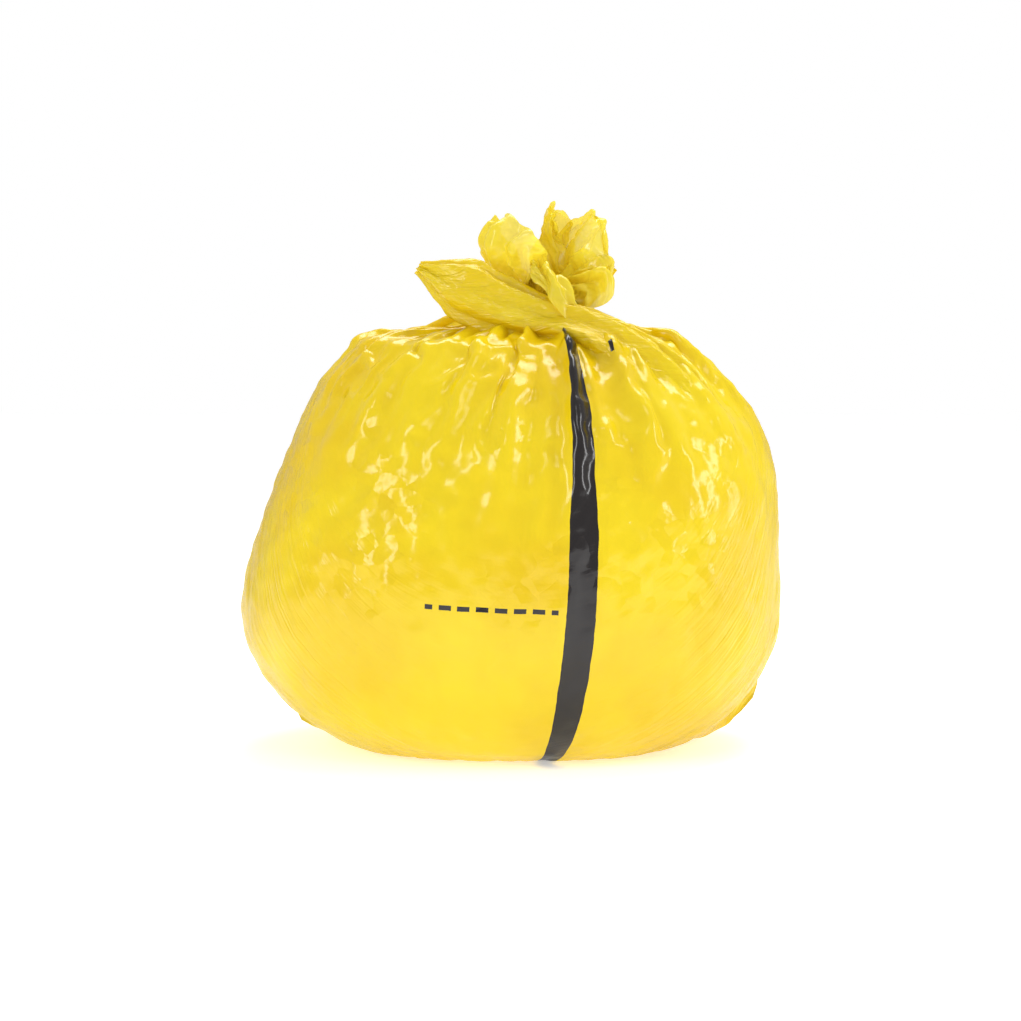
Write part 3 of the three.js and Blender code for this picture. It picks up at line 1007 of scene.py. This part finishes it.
def film_material(name, translucency, see_through=0.0, relief=1.0, painted_glow=0.0):
    """Printed film. See-through film also shows what lies behind it. Paler film is a painted glow of light
    through it.
    """
    material = bpy.data.materials.new(name)
    material.use_nodes = True
    tree = material.node_tree
    tree.nodes.clear()
    nodes = Nodes(tree)
    film_uv = nodes.add("ShaderNodeUVMap", {"uv_map": FILM_UV})
    film = nodes.add("ShaderNodeSeparateXYZ", Vector=film_uv)
    share, up = film.outputs["X"], film.outputs["Y"]
    space = nodes.add("ShaderNodeTexCoord").outputs["Object"]
    printed = printed_mask(nodes, share, up)
    colour = film_colour(nodes, space, printed, painted_glow)
    crinkled = crinkle_relief(nodes, space, up, relief)
    bumped = tension_relief(nodes, share, up, crinkled, relief)
    glossy = nodes.add("ShaderNodeBsdfPrincipled", Base_Color=colour, Normal=bumped,
                       Roughness=FILM_ROUGHNESS, IOR=FILM_IOR)
    glow = nodes.add("ShaderNodeBsdfTranslucent", Color=colour, Normal=bumped)
    passes = nodes.math("MULTIPLY", nodes.math("SUBTRACT", 1.0, printed), translucency)
    surface = nodes.add("ShaderNodeMixShader", Fac=passes, i1=glossy, i2=glow)
    if see_through:
        clear = nodes.add("ShaderNodeBsdfTransparent", Color=CLEAR_YELLOW)
        surface = nodes.add("ShaderNodeMixShader", Fac=see_through, i1=surface, i2=clear)
    nodes.add("ShaderNodeOutputMaterial", Surface=surface)
    return material


body_finish = film_material("yellow_film", translucency=0.18)
# The ruff's paler yellow is a painted glow, standing in for light that shines through its thin film.
thin_finish = film_material("thin_yellow_film", translucency=0.3, see_through=0.1, relief=0.7, painted_glow=0.45)
print("made", body_finish.name, "and", thin_finish.name)

# %% [markdown]
# All four film pieces belong to the one bag, so they ride on it together. The body is padded, because waste
# and air fill it. The ruff and the two bunches are gathered film and should be declared too, but aren't: the
# ruff was refused with about a third of its flat area, and the bunches were never measured.

# %% Dress the film, and say what replaces what
FINISHES = {
    body_film: body_finish,
    front_bunch: body_finish,
    rear_bunch: body_finish,
    ruff_film: thin_finish,
}
for piece, finish in FINISHES.items():
    for polygon in piece.data.polygons:
        polygon.use_smooth = True
    piece.data.materials.clear()
    piece.data.materials.append(finish)
    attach(piece, "root")
    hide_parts("film_bag")
print("dressed", [piece.name for piece in FINISHES])

# %% [markdown]
# The bag is shown in a white studio: a large soft light above and behind, which makes the film's folds shine,
# a narrow one on each side, a small one in front, and a floor that glows a little, so that no grey edge is
# left.

# %% Light the bag and place the camera
LIGHT_WATTS = {"top": 24, "left": 10, "right": 9, "front": 4}
LIGHT_PLACES = {
    "top": ((0.25, 0.55, 1.75), (1.5, 0.9)),
    "left": ((-1.5, -1.3, 0.95), (0.35, 1.3)),
    "right": ((1.7, -0.5, 0.9), (0.3, 1.2)),
    "front": ((0.3, -1.6, 2.1), (0.8, 0.5)),
}
LIGHT_TARGET = Vector((0.0, 0.0, 0.27))
SKY_GLOW = 0.55
FLOOR_GLOW = 0.45
FLOOR_SIZE = 12
FLOOR_ROUGHNESS = 0.7
WHITE = (1, 1, 1, 1)
CAMERA_LENS = 100
CAMERA_RISE = math.radians(5)
CAMERA_DISTANCE = 2.62
CAMERA_TARGET = Vector((0.0, 0.0, 0.2165))


def aim(thing, target):
    """Turns a light or a camera towards a place."""
    thing.rotation_mode = "QUATERNION"
    thing.rotation_quaternion = (target - thing.location).to_track_quat("-Z", "Y")


for name, (place, size) in LIGHT_PLACES.items():
    lamp = bpy.data.lights.new(name + "_light", "AREA")
    lamp.shape = "RECTANGLE"
    lamp.size, lamp.size_y = size
    lamp.energy = LIGHT_WATTS[name]
    softbox = bpy.data.objects.new(name + "_light", lamp)
    scene.collection.objects.link(softbox)
    softbox.location = place
    aim(softbox, LIGHT_TARGET)

sky = bpy.data.worlds.new("white_studio")
sky.use_nodes = True
scene.world = sky
sky_nodes = Nodes(sky.node_tree)
seen = sky_nodes.add("ShaderNodeLightPath").outputs["Is Camera Ray"]
glow = sky_nodes.math("MULTIPLY_ADD", seen, 1 - SKY_GLOW, SKY_GLOW)
background = sky.node_tree.nodes["Background"]
sky_nodes.feed(background.inputs["Color"], WHITE)
sky_nodes.feed(background.inputs["Strength"], glow)

floor_bm = bmesh.new()
bmesh.ops.create_grid(floor_bm, x_segments=1, y_segments=1, size=FLOOR_SIZE / 2)
floor = piece_from(floor_bm, "floor")
floor_finish = bpy.data.materials.new("white_floor")
floor_finish.use_nodes = True
floor_surface = floor_finish.node_tree.nodes["Principled BSDF"]
floor_surface.inputs["Base Color"].default_value = WHITE
floor_surface.inputs["Roughness"].default_value = FLOOR_ROUGHNESS
floor_surface.inputs["Emission Color"].default_value = WHITE
floor_surface.inputs["Emission Strength"].default_value = FLOOR_GLOW
floor.data.materials.append(floor_finish)

camera_data = bpy.data.cameras.new("camera")
camera_data.lens = CAMERA_LENS
camera = bpy.data.objects.new("camera", camera_data)
scene.collection.objects.link(camera)
scene.camera = camera
from_bag = Vector((0, -math.cos(CAMERA_RISE), math.sin(CAMERA_RISE)))
camera.location = CAMERA_TARGET + from_bag * CAMERA_DISTANCE
aim(camera, CAMERA_TARGET)
scene.view_settings.view_transform = "Standard"
print("lights:", ", ".join(LIGHT_PLACES), "- camera at", [round(x, 2) for x in camera.location])
